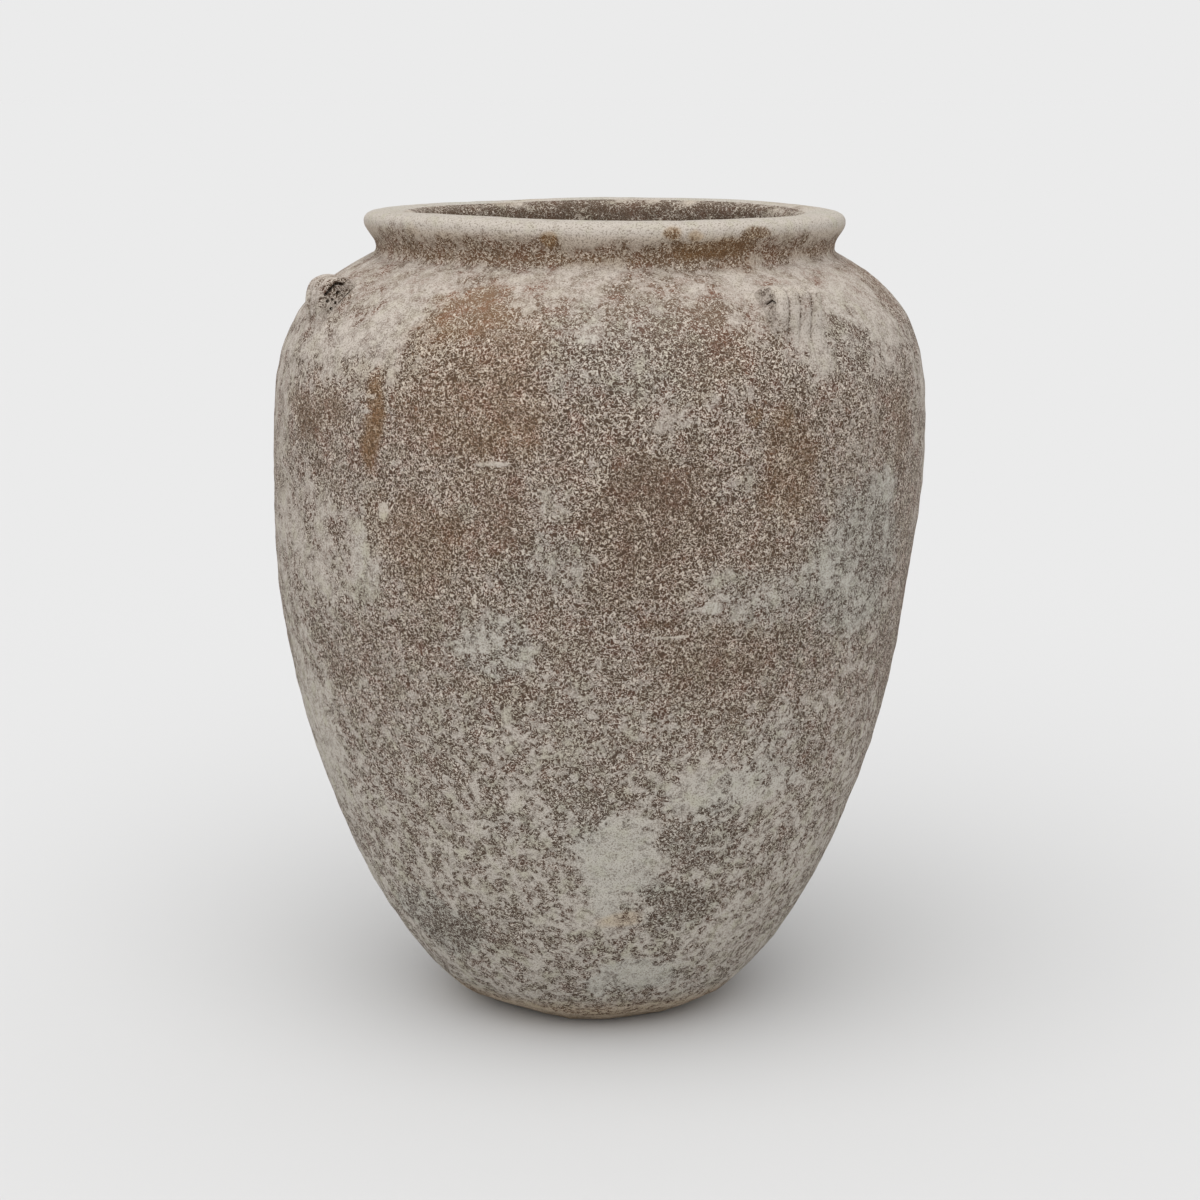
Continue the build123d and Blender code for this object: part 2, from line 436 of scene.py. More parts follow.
# %% [markdown]
# ## Lugs
#
# A lug is a strap of clay pressed with three or four ribs, bent into a loop and smeared on to the
# shoulder. The CAD solid has its loop, ribs and cord hole with crisp edges. A copy of that solid is
# merged and turned into an even fine mesh, which softens the edges as wet clay would, and leaves
# enough points to roughen. The openings on the jar are choked with lime, so a plug of lime is set in
# each end of the hole before the mesh is made even, which joins the two. The dark slit under the arch
# and the small pits that the lime leaves open are pressed in afterwards.

# %% Where the cord holes are
from mathutils import Matrix, Vector

LUGS = ("lug_front_left", "lug_front_right", "lug_rear_right", "lug_rear_left")
lug_holes = {}
for mount in frame["record"]["mounts"]:
    if mount["name"].startswith("cord_hole_"):
        lug_holes["lug_" + mount["name"].removeprefix("cord_hole_")] = mount


def front_angle(x, y):
    """Degrees from the front of the jar, counted to the right as seen from there."""
    return np.degrees(np.arctan2(x, -y))


def hole_frame(name):
    """Middle of a lug's hole, and unit directions along it, out from the wall and down the wall."""
    middle = Vector(lug_holes[name]["pos_m"])
    along = Vector(lug_holes[name]["axis"]).normalized()
    radius = math.hypot(middle.x, middle.y)
    nearest = np.argmin(np.hypot(chain[:rim, 0] - radius / MM, chain[:rim, 1] - middle.z / MM))
    out_r, out_z = chain_normal[nearest]
    out = Vector((out_r * middle.x / radius, out_r * middle.y / radius, out_z))
    return middle, along, out, along.cross(out)


for name in LUGS:
    x, y, _ = lug_holes[name]["pos_m"]
    print(f"{name} stands at {front_angle(x, y):.0f} degrees from the front")

# %% Soft lugs from the solids
LUG_GRAIN = 0.8 * MM
LUG_SOFTENING = 2
HALFWAY = 0.5
PLUG_SPARE = 0.4 * MM
PLUG_LENGTH = 12.0 * MM
PLUG_INSET = 1.0 * MM
PLUG_SIDES = 32


def smooth_all(shaping, passes):
    """Draw every point halfway to the middle of its neighbours, a number of times."""
    sides = {"use_axis_x": True, "use_axis_y": True, "use_axis_z": True}
    for _ in range(passes):
        bmesh.ops.smooth_vert(shaping, verts=shaping.verts, factor=HALFWAY, **sides)


def plugged_lug(name):
    """Merged copy of a lug with a plug of lime in each end of its hole."""
    shaping = bmesh.new()
    shaping.from_mesh(frame["nodes"][name].data)
    bmesh.ops.remove_doubles(shaping, verts=shaping.verts, dist=MERGE)
    middle, along, _, _ = hole_frame(name)
    half_length = lug_holes[name]["dims"]["length_mm"] * MM / 2
    plug_radius = lug_holes[name]["dims"]["r_mm"] * MM + PLUG_SPARE
    turn = along.to_track_quat("Z", "Y").to_matrix().to_4x4()
    for end in (-1, 1):
        seat = middle + along * end * (half_length - PLUG_INSET - PLUG_LENGTH / 2)
        bmesh.ops.create_cone(
            shaping,
            cap_ends=True,
            segments=PLUG_SIDES,
            radius1=plug_radius,
            radius2=plug_radius,
            depth=PLUG_LENGTH,
            matrix=Matrix.Translation(seat) @ turn,
        )
    plugged = bpy.data.meshes.new(name + "_plugged")
    shaping.to_mesh(plugged)
    shaping.free()
    return plugged


def softened_lug(name):
    """The plugged lug as an even mesh with softened edges."""
    stand_in = bpy.data.objects.new(name + "_plugged", plugged_lug(name))
    scene.collection.objects.link(stand_in)
    remesh = stand_in.modifiers.new("even", "REMESH")
    remesh.mode = "VOXEL"
    remesh.voxel_size = LUG_GRAIN
    view = bpy.context.evaluated_depsgraph_get()
    even = bpy.data.meshes.new_from_object(stand_in.evaluated_get(view))
    bpy.data.objects.remove(stand_in)
    shaping = bmesh.new()
    shaping.from_mesh(even)
    smooth_all(shaping, LUG_SOFTENING)
    shaping.to_mesh(even)
    shaping.free()
    return even


for name in LUGS:
    meshes[name] = softened_lug(name)
    print(f"{name}: {len(meshes[name].vertices)} points")

# %% Slit and pits that the lime leaves open
SLIT_HALF = 1.2
SLIT_DEPTH = 6.0
PIT_DEPTH = 3.5
END_DEPTH = 8.0

# How squarely a point faces along the hole where it starts to count as the lug's end, and how much
# more squarely where it counts fully
END_FACING = 0.4
END_FADE = 0.4

# A line and round pits on the ends of a lug: millimetres down the wall and out from the hole's middle,
# and a radius for each pit
NARROW_SLIT = ((6.6, 4.2), (-8.1, 4.0), (-12.1, -1.0))
NARROW_PITS = (
    (-3.4, -3.7, 1.8),
    (9.4, -1.7, 1.6),
    (5.0, -4.3, 1.3),
    (4.9, -8.4, 1.3),
    (11.6, -9.0, 1.3),
)
BROAD_SLIT = ((-3.0, -4.8), (-0.4, 3.2), (5.3, 6.2))
BROAD_PITS = ((-4.4, 4.3, 1.7),)
END_MARKS = {
    "lug_front_left": (NARROW_SLIT, NARROW_PITS),
    "lug_front_right": (BROAD_SLIT, BROAD_PITS),
    "lug_rear_right": (NARROW_SLIT, NARROW_PITS),
    "lug_rear_left": (BROAD_SLIT, BROAD_PITS),
}


def point_places(mesh):
    """Places of all points of a mesh, one row each."""
    places = np.empty(3 * len(mesh.vertices))
    mesh.vertices.foreach_get("co", places)
    return places.reshape(-1, 3)


def point_facings(mesh):
    """Unit direction square to the surface at each point of a mesh."""
    facing = np.empty(3 * len(mesh.vertices))
    mesh.vertex_normals.foreach_get("vector", facing)
    return facing.reshape(-1, 3)


def move_points(mesh, places):
    """Set all points of a mesh to new places."""
    mesh.vertices.foreach_set("co", places.ravel())
    mesh.update()


def distance_to(line, spots):
    """Distance of each flat spot from a bent line."""
    nearest = np.full(len(spots), np.inf)
    for start, end in zip(np.array(line), np.array(line)[1:]):
        step = end - start
        share = np.clip((spots - start) @ step / (step @ step), 0, 1)
        nearest = np.minimum(nearest, np.linalg.norm(spots - start - share[:, None] * step, axis=1))
    return nearest


end_faces = {}
for name in LUGS:
    mesh = meshes[name]
    middle, along, out, down = (np.array(value) for value in hole_frame(name))
    half_length = lug_holes[name]["dims"]["length_mm"] / 2
    places = point_places(mesh)
    squarely = np.abs(point_facings(mesh) @ along)
    far = (places - middle) @ along / MM
    spots = np.column_stack([(places - middle) @ side / MM for side in (down, out)])
    end_faces[name] = np.clip((squarely - END_FACING) / END_FADE, 0, 1)
    end_faces[name] *= np.abs(far) > half_length - END_DEPTH
    slit, pits = END_MARKS[name]
    depth = SLIT_DEPTH * np.clip(1 - (distance_to(slit, spots) / SLIT_HALF) ** 2, 0, 1)
    for *pit_spot, pit_radius in pits:
        pit_reach = np.linalg.norm(spots - pit_spot, axis=1)
        depth = np.maximum(depth, PIT_DEPTH * np.clip(1 - (pit_reach / pit_radius) ** 2, 0, 1))
    move_points(mesh, places - along * (np.sign(far) * depth * end_faces[name] * MM)[:, None])
    print(f"{name}: slit and {len(pits)} pits in each end")

# %% Clay smeared round the seat of a lug
SMEAR_HEIGHT = 2.0
SMEAR_REACH = 7.0

# The lug's top stands clear of the wall, so the smear ends this far below it
SMEAR_DROP = 6.0


def turn_from(angle, at_angle):
    """Degrees from one angle to the other, the short way round."""
    return (angle - at_angle + 180) % 360 - 180


def seat_swell(angle, radius, level):
    """Millimetres that the wall swells round the lugs, as clay does that is thumbed up to hold them."""
    swell = np.zeros(len(angle))
    for name in LUGS:
        x, y, _ = lug_holes[name]["pos_m"]
        lowest, highest = (corner[2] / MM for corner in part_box(name))
        turn = turn_from(angle, front_angle(x, y))
        across = np.abs(np.radians(turn)) * radius - lug_holes[name]["dims"]["length_mm"] / 2
        past = np.maximum(lowest - level, level - (highest - SMEAR_DROP))
        outside = np.hypot(np.maximum(across, 0), np.maximum(past, 0))
        swell = np.maximum(swell, SMEAR_HEIGHT * np.exp(-((outside / SMEAR_REACH) ** 2)))
    return swell


for name in LUGS:
    lowest, highest = (corner[2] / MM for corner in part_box(name))
    print(f"{name}: {highest - lowest:.0f} mm high")

# %% [markdown]
# ## Where the lime lies
#
# The crust is thick on the lip and the shoulder, worn to single flecks on the brown fields, and
# stained ochre or grey in places. It could be left to a random pattern, but then no patch would lie
# where it lies on the jar. So each main patch is listed: its angle from the front in degrees,
# its level, half width and half height in millimetres, and how much lime, ochre, grey and darkness it
# adds. Bands by level carry the crust right round, and a slow random pattern varies it at the back.
# The sums are kept on every point under one name. Their darkness in the throat and in the hollows of the
# lugs is painted shade, and part of their lime is painted light.
# A second value, wash, says how far rain has smoothed the fine worms of the crust. The finish reads
# both.

# %% Patches
PATCHES = {
    "pale left shoulder": (-46.0, 690, 115, 60, 0.17, 0.0, 0.05, 0.0),
    "pale right shoulder": (52.0, 700, 90, 45, 0.17, 0.0, 0.15, 0.0),
    "brown left flank": (-57.0, 629, 60, 26, -0.27, 0.2, 0.0, 0.05),
    "pale left flank": (-50.0, 500, 85, 85, 0.21, 0.0, 0.1, 0.0),
    "ochre run": (-39.6, 624, 12, 46, -0.45, 0.75, 0.0, 0.0),
    "cream fleck on the run": (-40.3, 645, 6, 3, 0.60, -0.4, 0.0, 0.0),
    "cream fleck below it": (-41.0, 631, 6, 3, 0.60, -0.4, 0.0, 0.0),
    "big brown field": (-22.0, 662, 84, 74, -0.17, 0.25, 0.0, -0.1),
    "top of the brown field": (-25.0, 724, 42, 18, -0.22, 0.2, 0.0, -0.2),
    "brown pocket": (-29.0, 514, 44, 48, -0.20, 0.25, 0.0, 0.1),
    "brown beside the pocket": (-18.0, 542, 50, 48, -0.14, 0.1, 0.0, 0.0),
    "pale column left of it": (-41.3, 483, 16, 44, 0.12, 0.0, 0.2, 0.0),
    "olive patch right of it": (-8.8, 500, 46, 34, 0.12, 0.0, 0.5, 0.0),
    "grey mottle": (4.0, 690, 80, 42, 0.02, 0.0, 0.4, 0.0),
    "reddish mottle": (17.0, 692, 55, 34, -0.17, 0.12, 0.0, 0.0),
    "brown labyrinth": (8.0, 540, 72, 74, -0.18, 0.15, 0.0, 0.3),
    "reddish spot": (32.6, 580, 28, 52, -0.18, 0.35, 0.0, 0.1),
    "small red spot": (25.6, 635, 9, 10, -0.30, 0.4, 0.0, 0.1),
    "small red spot beside it": (31.0, 634, 13, 13, -0.24, 0.4, 0.0, 0.1),
    "dark chip": (34.9, 651, 3, 7, -0.60, 0.2, 0.0, 0.8),
    "specks on the right shoulder": (49.0, 688, 34, 32, -0.20, 0.0, 0.1, 0.3),
    "brown right edge": (62.0, 612, 24, 34, -0.12, 0.15, 0.0, 0.0),
    "pale run under the right lug": (36.0, 678, 34, 32, 0.08, 0.0, 0.0, 0.0),
    "pale blot": (22.0, 569, 25, 18, 0.16, 0.0, 0.2, 0.0),
    "grey right flank": (51.0, 497, 75, 88, 0.16, 0.0, 0.9, -0.2),
    "white spot": (19.3, 462, 9, 6, 0.70, 0.0, 0.3, 0.0),
    "pale dash": (-17.0, 593, 19, 3, 0.50, 0.0, 0.0, 0.0),
    "star fleck": (-21.1, 548, 10, 10, 0.30, 0.0, 0.3, 0.0),
    "pale fleck": (-36.9, 542, 6, 9, 0.50, 0.0, 0.3, 0.0),
    "pale bridge": (-7.6, 559, 26, 18, 0.20, 0.0, 0.2, 0.0),
    "olive blot on the left": (-17.0, 428, 52, 30, 0.16, 0.0, 0.5, 0.0),
    "olive blot on the right": (30.0, 469, 67, 33, 0.12, 0.0, 0.5, 0.0),
    "level line": (12.7, 436, 17, 2, 0.60, 0.0, 0.0, 0.0),
    "brown above the line": (10.1, 448, 18, 6, -0.30, 0.2, 0.0, 0.2),
    "dark band": (20.0, 407, 62, 32, -0.12, 0.2, 0.0, 0.15),
    "olive band": (29.7, 283, 71, 24, 0.14, 0.0, 0.4, 0.0),
    "dark islands": (-4.0, 262, 30, 40, -0.10, 0.0, 0.2, 0.2),
    "pale heart": (4.6, 212, 38, 60, 0.30, 0.0, 0.4, 0.0),
    "ochre tint": (6.3, 147, 23, 9, -0.05, 0.6, 0.0, 0.0),
    "dark field": (22.0, 236, 44, 34, -0.20, 0.0, 0.35, 0.25),
    "dark field below": (19.0, 160, 31, 28, -0.17, 0.0, 0.35, 0.25),
    "purple shade": (-43.0, 122, 60, 34, -0.16, 0.0, 0.9, 0.1),
    "grey blot": (11.0, 76, 42, 24, 0.24, 0.0, 0.9, 0.0),
    "brown under the left shoulder": (-42.7, 663, 32, 16, -0.14, 0.15, 0.0, 0.0),
    "brown right of it": (-31.5, 702, 24, 18, -0.12, 0.2, 0.0, 0.0),
    "brown at the left": (-38.5, 529, 16, 34, -0.15, 0.2, 0.0, 0.1),
    "brown over the pale dash": (-14.5, 615, 24, 18, -0.12, 0.15, 0.0, 0.0),
    "brown right of the olive patch": (-8.5, 473, 18, 26, -0.14, 0.1, 0.0, 0.1),
    "brown dot in the olive blot": (-24.4, 434, 16, 16, -0.12, 0.1, 0.0, 0.0),
    "brown below the olive blot": (-14.8, 386, 34, 16, -0.10, 0.1, 0.0, 0.0),
    "dark islands on the left": (-17.1, 248, 34, 15, -0.12, 0.0, 0.2, 0.1),
    "end of the dark band": (21.6, 359, 28, 22, -0.12, 0.1, 0.0, 0.1),
    "brown right of the labyrinth": (27.3, 503, 24, 28, -0.10, 0.1, 0.0, 0.0),
    "pale speckle over the labyrinth": (14.3, 620, 24, 26, 0.12, 0.0, 0.1, 0.0),
    "pale seat left of the right lug": (28.5, 730, 26, 26, 0.16, 0.0, 0.0, 0.0),
    "brown over the right lug": (32.2, 757, 26, 7, -0.12, 0.2, 0.0, 0.0),
    "pale spot over the heart": (12.5, 282, 20, 18, 0.12, 0.0, 0.2, 0.0),
    "pale foot of the heart": (12.5, 180, 18, 14, 0.14, 0.0, 0.3, 0.0),
    "pale low right": (36.0, 324, 34, 32, 0.10, 0.0, 0.2, 0.0),
    "pale left edge": (-74.0, 560, 54, 140, 0.24, 0.0, 0.1, -0.1),
    "pale lower left edge": (-66.0, 330, 60, 110, 0.24, 0.0, 0.1, -0.1),
    "pale right edge": (74.0, 580, 46, 120, 0.14, 0.0, 0.1, 0.0),
    "rust spot under the lip": (14.7, 789, 10, 6, -0.35, 0.8, 0.0, 0.2),
    "ochre spot beside it": (20.4, 788, 8, 5, -0.12, 0.7, 0.0, 0.0),
    "rust at the right": (35.9, 787, 17, 6, -0.35, 0.6, 0.0, 0.3),
    "rust below them": (25.0, 775, 46, 9, -0.24, 0.6, 0.0, 0.2),
    "ochre spot at the left": (-12.8, 783, 8, 7, -0.20, 0.8, 0.0, 0.0),
    "dark mottle at the left": (-49.2, 786, 10, 6, -0.12, 0.2, 0.0, 0.3),
    "dark mottle beside it": (-39.5, 783, 12, 6, -0.13, 0.2, 0.0, 0.3),
    "dark mottle below it": (-33.0, 778, 10, 6, -0.13, 0.2, 0.0, 0.3),
    "pale left end of the lip": (-80.0, 787, 80, 11, 0.22, 0.0, 0.0, 0.0),
    "pale right end of the lip": (76.0, 788, 80, 11, 0.20, 0.0, 0.1, 0.0),
}
print(len(PATCHES), "patches")

# %% Bands by level
# The lime share is raised towards the foot, most of all on the bevel that faces down: partly painted
# light that lifts the low jar out of the shade near the floor
LIME_LEVELS = (0, 12, 30, 110, 250, 440, 560, 650, 700, 735, 752, 761, 768, 781, 789, 794, 798)
LIME_AND_LIGHT_SHARES = (
    0.95, 0.91, 0.77, 0.74, 0.73, 0.56, 0.52, 0.57, 0.63, 0.67, 0.75, 0.67, 0.48, 0.70, 0.95, 1.0, 1.0
)
STAIN_LEVELS = (0, 26, 44, 755, 765, 784, 790)
STAIN_SHARES = (0.9, 0.7, 0.0, 0.0, 0.4, 0.3, 0.0)
# Over the top of the lip the grey share rises and darkens the coat that faces up to the light: painted
# shade
GREY_LEVELS = (0, 14, 40, 200, 400, 520, 785, 798)
GREY_SHARES = (0.1, 0.2, 0.55, 0.45, 0.30, 0.10, 0.05, 0.35)
# The lime share falls off lower down the throat: painted shade inside the mouth
THROAT_LEVELS = (700, 785, 792, 797.5)
THROAT_SHARES = (0.38, 0.40, 0.44, 0.60)
WASH_LEVELS = (690, 725, 745, 760, 786, 796)
WASH_SHARES = (0.0, 0.4, 0.6, 0.3, 0.2, 0.7)
barest = LIME_LEVELS[LIME_AND_LIGHT_SHARES.index(min(LIME_AND_LIGHT_SHARES))]
print(f"least lime at {barest} mm, in the hollow under the lip")

# %% Slow patterns on the skin
from mathutils import noise

# Size of the hills of each pattern, and a seed that sets it apart from the others
BROAD_HILLS = (90 * MM, 3.1)
LUMPS = (24 * MM, 7.7)
PIMPLES = (9 * MM, 11.3)

# A wide and a narrow pattern fray the edges of the patches, with these reaches in millimetres
WIDE_FRAY = 17
NARROW_FRAY = 9
FRAY_ACROSS = ((34 * MM, 21.9), (11 * MM, 5.3))
FRAY_UP = ((34 * MM, 33.5), (11 * MM, 14.1))


def wander(places, size, seed):
    """Smooth random value from about -0.6 to 0.6 at each place, with hills of about the given size."""
    return np.array([noise.noise(place) for place in (places / size + seed).tolist()])


def fray(places, wide, narrow):
    """Millimetres that the edges of patches stray at each place."""
    return WIDE_FRAY * wander(places, *wide) + NARROW_FRAY * wander(places, *narrow)


front_place = np.array([[0, -belly_radius, belly_level]]) * MM
print(f"broad hills at the front of the belly: {wander(front_place, *BROAD_HILLS)[0]:.2f}")

# %% Shares on the outside
LIME, OCHRE, GREY, DARK = range(4)
LOOSE_SIZE = 30.0
EDGE_STEEPNESS = 3
BACK_ANGLE = 65
BACK_FADE = 40
BAND_FRAY = 0.4
LIME_HILLS = 0.14
LIME_HILLS_BEHIND = 0.26
LIME_LUMPS = 0.16
STAIN_BEHIND = 0.5
DARK_BASE = 0.2
DARK_BEHIND = 0.5


def patch_shares(angle, radius, level, fray_across, fray_up):
    """Lime, ochre, grey and darkness that the patches add up to at each place."""
    shares = np.zeros((len(angle), 4))
    for at_angle, at_level, half_width, half_height, *amounts in PATCHES.values():
        loose = min(1.0, half_width / LOOSE_SIZE, half_height / LOOSE_SIZE)
        turn = turn_from(angle, at_angle)
        across = (np.radians(turn) * radius + loose * fray_across) / half_width
        up = (level - at_level + loose * fray_up) / half_height
        shares += np.exp(-((across**2 + up**2) ** EDGE_STEEPNESS))[:, None] * amounts
    return shares


def outer_wear_light_and_shade(angle, radius, level, fray_across, fray_up, broad, lump):
    """Lime, ochre, grey and darkness on the outside, with the slow pattern stronger at the back."""
    behind = np.clip((np.abs(angle) - BACK_ANGLE) / BACK_FADE, 0, 1)
    dips = behind * np.clip(-broad, 0, 1)
    wear_light_and_shade = patch_shares(angle, radius, level, fray_across, fray_up)
    wear_light_and_shade[:, LIME] += np.interp(level + BAND_FRAY * fray_up, LIME_LEVELS, LIME_AND_LIGHT_SHARES)
    wear_light_and_shade[:, LIME] += (LIME_HILLS + LIME_HILLS_BEHIND * behind) * broad + LIME_LUMPS * lump
    wear_light_and_shade[:, OCHRE] += np.interp(level, STAIN_LEVELS, STAIN_SHARES) + STAIN_BEHIND * dips
    wear_light_and_shade[:, GREY] += np.interp(level, GREY_LEVELS, GREY_SHARES) + behind * np.clip(broad, 0, 1)
    wear_light_and_shade[:, DARK] += DARK_BASE + DARK_BEHIND * dips
    return wear_light_and_shade


print(f"the slow pattern has taken over by {BACK_ANGLE + BACK_FADE} degrees from the front")

# %% Shares on the inside
THROAT_LUMPS = 0.5
# Extra lime at the sides of the throat: painted light
THROAT_SIDE_LIGHT = 0.25
THROAT_SIDE_ANGLE = 112
THROAT_SIDE_FADE = 20
THROAT_OCHRE = 0.15
THROAT_OCHRE_LUMPS = 0.3
THROAT_GREY = 0.3
# Darkness over the whole inside, varied by the broad hills: painted shade
THROAT_SHADE = 0.6
THROAT_SHADE_HILLS = 0.4


def throat_wear_light_and_shade(angle, level, fray_up, broad, lump):
    """Lime, ochre, grey and darkness on the inside: painted shade that is deepest low in the throat and
    at its back, and painted light at its sides.
    """
    sides = np.clip((THROAT_SIDE_ANGLE - np.abs(angle)) / THROAT_SIDE_FADE, 0, 1)
    lime = np.interp(level + BAND_FRAY * fray_up, THROAT_LEVELS, THROAT_SHARES) + THROAT_LUMPS * lump
    lime += THROAT_SIDE_LIGHT * sides
    ochre = THROAT_OCHRE + THROAT_OCHRE_LUMPS * lump
    grey = np.full(len(lump), THROAT_GREY)
    dark = THROAT_SHADE + THROAT_SHADE_HILLS * broad
    return np.column_stack((lime, ochre, grey, dark))


print(f"lime in the throat from {THROAT_SHARES[0]:.0%} low down to {THROAT_SHARES[-1]:.0%} at the lip")

# %% [markdown]
# ## Hand work and wear
#
# No hand-built jar is true. Its skin has low hills and lumps, the coils show as faint rings, the rim
# waves, the upper body leans a little to the right, and the edge of the foot is worn to flats. This
# could be sculpted by hand, but then neighbours would have to be matched along every seam. Here each
# change depends only on where a point is, so pieces that meet are moved alike. The foot's underside
# stays flat, because the jar stands on it.

# %% Rise of the skin
BROAD_RISE = 1.3
LUMP_RISE = 0.55
PIMPLE_RISE = 0.32
COIL_RISE = 0.28
COIL_HEIGHT = 33.0
COIL_SWAY = 9
COIL_SHARE = 0.5
CRUST_RISE = 0.5
CRUST_FROM = 0.4
CRUST_FULL = 0.5


def skin_rise(level, broad, lump, pimple, lime):
    """Millimetres that hand work, coil marks and crust raise the skin."""
    coil = np.sin(math.tau * (level + COIL_SWAY * broad) / COIL_HEIGHT) * (COIL_SHARE + lump)
    crust = np.clip(lime - CRUST_FROM, 0, CRUST_FULL)
    hand_work = BROAD_RISE * broad + LUMP_RISE * lump + PIMPLE_RISE * pimple
    return hand_work + COIL_RISE * coil + CRUST_RISE * crust


print(f"a coil is {COIL_HEIGHT:.0f} mm high")

# %% Lean, rim and worn foot
LEAN_LEVELS = (0, 430, 465, 540, 660, 735, 765, 790)
LEAN_SHIFTS = (0, 0, 1.2, 5.0, 7.5, 9.5, 12.5, 11.6)
RIM_ANGLES = (-180, -140, -90, -50, -30, 0, 40, 90, 140, 180)
RIM_RISES = (0.0, -2.2, -0.8, 3.0, 3.0, 0.8, 0.0, -2.2, 0.0, 0.0)
RIM_FROM = 765
RIM_FADE = 25
RIM_SMOOTH = 0.4
FOOT_CORNERS = (-180, -152, -126, -102, -78, -58, -12, 6, 36, 57, 80, 104, 128, 154, 180)
FOOT_WORN_LEVEL = 45.0
FOOT_FLAT_LEVEL = 4.0
FOOT_MIDDLE = 40
FOOT_FADE = 60


def foot_shares(angle, radius, level):
    """Share of its radius that each point keeps where the foot is worn to flats between corners."""
    corners = np.array(FOOT_CORNERS)
    after = np.clip(np.searchsorted(corners, angle), 1, len(corners) - 1)
    half_side = np.radians(corners[after] - corners[after - 1]) / 2
    from_corner = np.radians(angle - corners[after - 1])
    facet = np.cos(half_side) / np.cos(from_corner - half_side)
    low = np.clip(1 - level / FOOT_WORN_LEVEL, 0, 1)
    worn = low * np.clip((radius - FOOT_MIDDLE) / FOOT_FADE, 0, 1)
    return 1 + (facet - 1) * worn


def weather(mesh, outward, skin, inside, swell, extra):
    """Note where the lime and the painted light and shade lie on a piece, roughen its skin, rub its foot
    to flats, wave its rim and lean it with the jar.
    """
    places = point_places(mesh)
    radius = np.hypot(places[:, 0], places[:, 1]) / MM
    level = places[:, 2] / MM
    angle = front_angle(places[:, 0], places[:, 1])
    broad = wander(places, *BROAD_HILLS)
    lump = wander(places, *LUMPS)
    pimple = wander(places, *PIMPLES)
    fray_across = fray(places, *FRAY_ACROSS)
    fray_up = fray(places, *FRAY_UP)

    wear_light_and_shade = outer_wear_light_and_shade(angle, radius, level, fray_across, fray_up, broad, lump) + extra
    wear_light_and_shade[inside] = throat_wear_light_and_shade(angle, level, fray_up, broad, lump)[inside]
    layer = mesh.attributes.new("wear_light_and_shade", "FLOAT_COLOR", "POINT")
    layer.data.foreach_set("color", np.clip(wear_light_and_shade, 0, 1).ravel())

    top = np.clip((level - RIM_FROM) / RIM_FADE, 0, 1)
    rise = skin_rise(level, broad, lump, pimple, wear_light_and_shade[:, LIME]) + swell
    rise = rise * skin * np.clip(level / FOOT_FLAT_LEVEL, 0, 1) * (1 - (1 - RIM_SMOOTH) * top)
    places += outward * (rise * MM)[:, None]
    places[:, 2] += np.interp(angle, RIM_ANGLES, RIM_RISES) * top * MM
    places[:, :2] *= foot_shares(angle, radius, level)[:, None]
    places[:, 0] += np.interp(level, LEAN_LEVELS, LEAN_SHIFTS) * MM
    move_points(mesh, places)


print(f"the lean reaches {max(LEAN_SHIFTS)} mm")

# %% Weather the turned rings
INSIDE_WASH = 0.3
INWARD = -0.2
ON_SKIN = 0.5


def carry(mesh, name, values):
    """Keep one value on every point of a mesh, for the finish to read."""
    mesh.attributes.new(name, "FLOAT", "POINT").data.foreach_set("value", values)


for name in ("floor_slab", *COURSES, "neck_collar", "rim_lip"):
    mesh = meshes[name]
    carried = {}
    for layer in CARRIED:
        carried[layer] = np.empty(len(mesh.vertices))
        mesh.attributes[layer].data.foreach_get("value", carried[layer])
        mesh.attributes.remove(mesh.attributes[layer])
    out_r, out_z, skin = carried.values()
    x, y, z = point_places(mesh).T
    reach = np.maximum(np.hypot(x, y), MERGE)
    outward = np.column_stack((out_r * x / reach, out_r * y / reach, out_z))
    inside = (out_r < INWARD) | (skin < ON_SKIN)
    swell = np.where(inside, 0, seat_swell(front_angle(x, y), reach / MM, z / MM))
    carry(mesh, "wash", np.where(inside, INSIDE_WASH, np.interp(z / MM, WASH_LEVELS, WASH_SHARES)))
    weather(mesh, outward, skin, inside, swell, np.zeros((len(reach), 4)))
    print(f"{name}: {1 - inside.mean():.0%} of its points are on the outside")

# %% Weather the lugs
HOLLOW_PASSES = 25
LUG_ROUGHNESS = 0.5
LUG_LIME = 0.10
LUG_WASH = 0.25
END_BARE = 0.10
GROOVE_BARE = 0.36
PIT_BARE = 0.8


def hollow_depth(mesh, outward):
    """Millimetres that each point lies below the same mesh after heavy smoothing."""
    shaping = bmesh.new()
    shaping.from_mesh(mesh)
    before = np.array([vert.co for vert in shaping.verts])
    smooth_all(shaping, HOLLOW_PASSES)
    after = np.array([vert.co for vert in shaping.verts])
    shaping.free()
    return ((after - before) * outward).sum(axis=1) / MM


for name in LUGS:
    mesh = meshes[name]
    outward = point_facings(mesh)
    hollow = np.clip(hollow_depth(mesh, outward), 0, 1)
    none = np.zeros(len(mesh.vertices))
    bare = GROOVE_BARE + (PIT_BARE - GROOVE_BARE) * end_faces[name]
    lime = LUG_LIME - END_BARE * end_faces[name] - bare * hollow
    # Less lime lies in the hollows of the lug, and their depth also goes in as darkness: painted shade
    # in its grooves and pits
    extra = np.column_stack((lime, none, none, hollow))
    carry(mesh, "wash", LUG_WASH * (1 - end_faces[name]))
    weather(mesh, outward, none + LUG_ROUGHNESS, none > 0, none, extra)
    print(f"{name}: deepest hollow share {hollow.max():.2f}")
